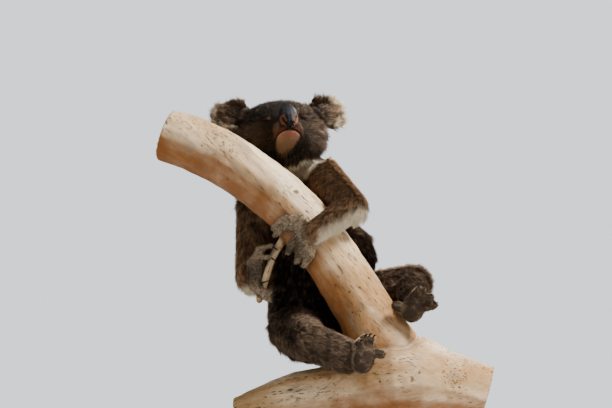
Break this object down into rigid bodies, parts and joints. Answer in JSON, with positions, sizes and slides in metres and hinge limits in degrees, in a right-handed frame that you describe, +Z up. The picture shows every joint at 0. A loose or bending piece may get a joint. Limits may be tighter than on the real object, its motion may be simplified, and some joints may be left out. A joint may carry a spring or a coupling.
{
  "type": "koala on a branch",
  "caption": "Life-size koala model sitting in the fork of a gum tree, gripping the branch and a twig, soles forward, on a flat base with rods.",
  "frame": {"origin": "centre of the flat underside of the stand's base, on the floor", "axes": "+Z up; the koala faces -Y; +X is the koala's own left"},
  "size_m": [0.682, 0.3901, 0.8896],
  "materials": {
    "brown_fur": "thick brown-grey coat",
    "grey_fur": "grizzled grey coat",
    "paw_fur": "short salt-and-pepper coat over dark leathery pads",
    "nose": "smooth, moist, finely pebbled",
    "eye": "wet gloss",
    "claw": "dark horn, half gloss",
    "bark": "smooth pale gum bark",
    "stand_base": "dark stained, satin",
    "stand_rod": "brushed"
  },
  "bodies": {
    "root": {"trunk": "brown_fur", "head": "brown_fur", "neck": "brown_fur", "ear_left": "grey_fur", "ear_right": "grey_fur", "nose": "nose", "eye_left": "eye", "eye_right": "eye", "upper_arm_left": "brown_fur", "forearm_left": "brown_fur", "hand_left": "paw_fur", "upper_arm_right": "brown_fur", "forearm_right": "brown_fur", "hand_right": "paw_fur", "thigh_left": "grey_fur", "shank_left": "grey_fur", "foot_left": "paw_fur", "thigh_right": "grey_fur", "shank_right": "grey_fur", "foot_right": "paw_fur", "claw_hand_left_digit1": "claw", "claw_hand_right_digit1": "claw", "claw_hand_left_digit2": "claw", "claw_hand_right_digit2": "claw", "claw_hand_left_digit3": "claw", "claw_hand_right_digit3": "claw", "claw_hand_left_digit4": "claw", "claw_hand_right_digit4": "claw", "claw_hand_left_digit5": "claw", "claw_hand_right_digit5": "claw", "claw_foot_left_digit2": "claw", "claw_foot_left_digit3": "claw", "claw_foot_left_digit4": "claw", "claw_foot_left_digit5": "claw", "claw_foot_right_digit2": "claw", "claw_foot_right_digit3": "claw", "claw_foot_right_digit4": "claw", "claw_foot_right_digit5": "claw", "perch_limb": "bark", "perch_branch": "bark", "perch_twig": "bark", "stand_base": "stand_base", "stand_rod_left": "stand_rod", "stand_rod_right": "stand_rod"}
  },
  "joints": []
}
